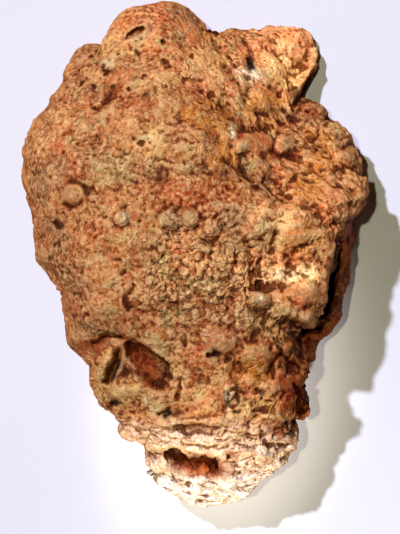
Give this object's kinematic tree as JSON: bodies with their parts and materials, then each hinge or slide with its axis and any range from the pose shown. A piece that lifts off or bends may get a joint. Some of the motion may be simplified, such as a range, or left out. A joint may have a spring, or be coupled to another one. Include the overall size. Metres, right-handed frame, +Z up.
{
  "type": "thunderegg",
  "caption": "Whole uncut thunderegg nodule with a knobbly iron-stained crust, a lobed broad end and a pale ledged narrow end; rests flat on its side.",
  "frame": {"origin": "on the resting surface, under the middle of the stone's box", "axes": "+X across the stone, +Y along it towards the broad, lobed end, +Z up"},
  "size_m": [0.1218, 0.1794, 0.0728],
  "materials": {
    "crust": "matte, granular, iron-stained in tan, ochre and brick red"
  },
  "bodies": {
    "root": {"thunderegg": "crust"}
  },
  "joints": []
}
